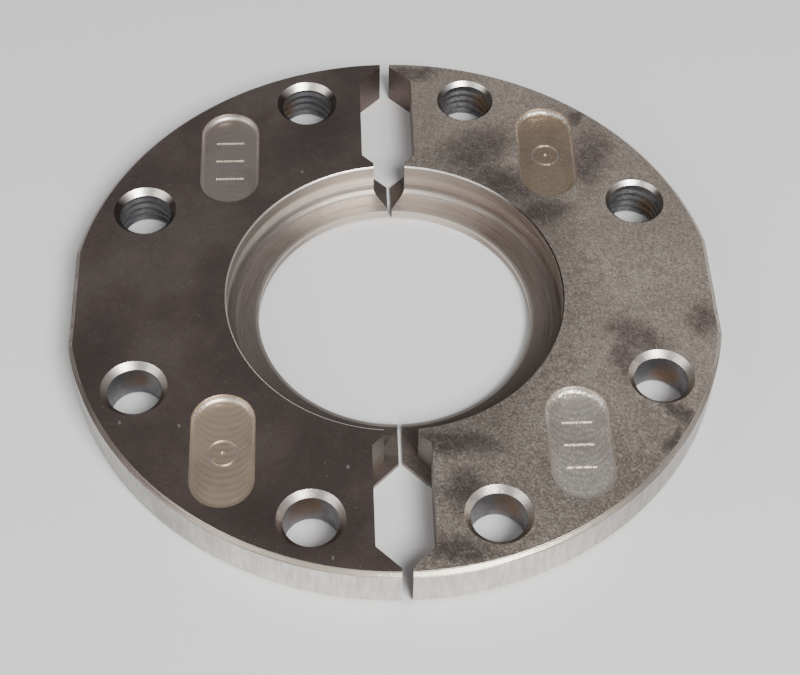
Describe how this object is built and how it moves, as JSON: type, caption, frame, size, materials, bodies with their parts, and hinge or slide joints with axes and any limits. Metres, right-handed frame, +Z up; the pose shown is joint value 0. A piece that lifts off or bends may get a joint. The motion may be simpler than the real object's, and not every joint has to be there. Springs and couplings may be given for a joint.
{
  "type": "split clamp ring",
  "caption": "Split steel clamp ring in loose halves that close round a stepped bore, with tapped and plain screw holes, shallow pockets and notched ends.",
  "frame": {"origin": "on the ring axis at the underside of the ring", "axes": "+Z up along the ring axis to the counterbored top face, X across the split from the left half (-X) to the right half (+X), +Y along the split towards the threaded holes"},
  "size_m": [0.1258, 0.128, 0.0095],
  "materials": {
    "left_half": "satin ground, dark brown-grey",
    "right_half": "satin ground, lighter warm grey"
  },
  "bodies": {
    "left_half": {"left_half": "left_half"},
    "right_half": {"right_half": "right_half"}
  },
  "joints": [
    {"name": "part_halves", "type": "slide", "parent": "left_half", "child": "right_half", "axis": [1, 0, 0], "range_m": [-0.0007, 0.06]}
  ]
}
